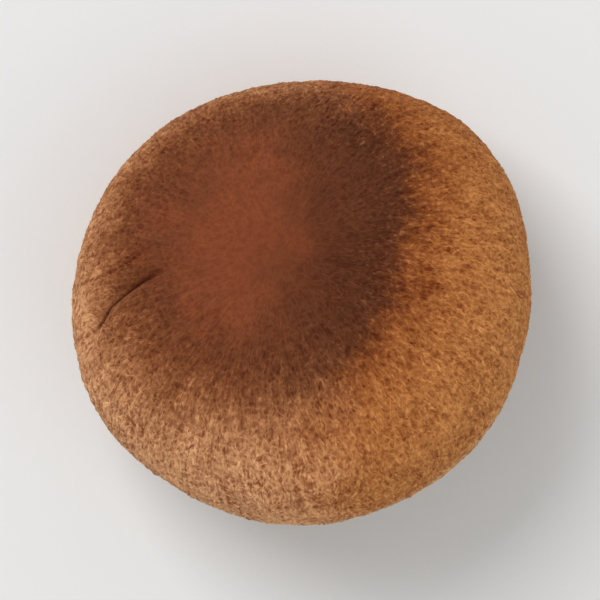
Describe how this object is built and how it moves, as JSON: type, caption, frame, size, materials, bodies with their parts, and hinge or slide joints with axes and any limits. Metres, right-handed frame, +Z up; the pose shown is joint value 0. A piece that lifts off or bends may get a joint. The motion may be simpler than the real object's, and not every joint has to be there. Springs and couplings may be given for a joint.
{
  "type": "shiitake mushroom",
  "caption": "Fresh whole shiitake mushroom with a thick round brown cap, crowded pale gills and a short trimmed stem, set down on its stem and cap edge.",
  "frame": {"origin": "on the surface that the mushroom stands on, under the middle of its box", "axes": "+Z up from the surface; the cap leans towards +Y and a little -X, and its raised side, where stem and gills show, faces -Y"},
  "size_m": [0.0586, 0.0568, 0.0371],
  "materials": {
    "cap_skin": "matte",
    "gills": "matte",
    "stem": "matte"
  },
  "bodies": {
    "root": {"mushroom": "cap_skin"}
  },
  "joints": []
}
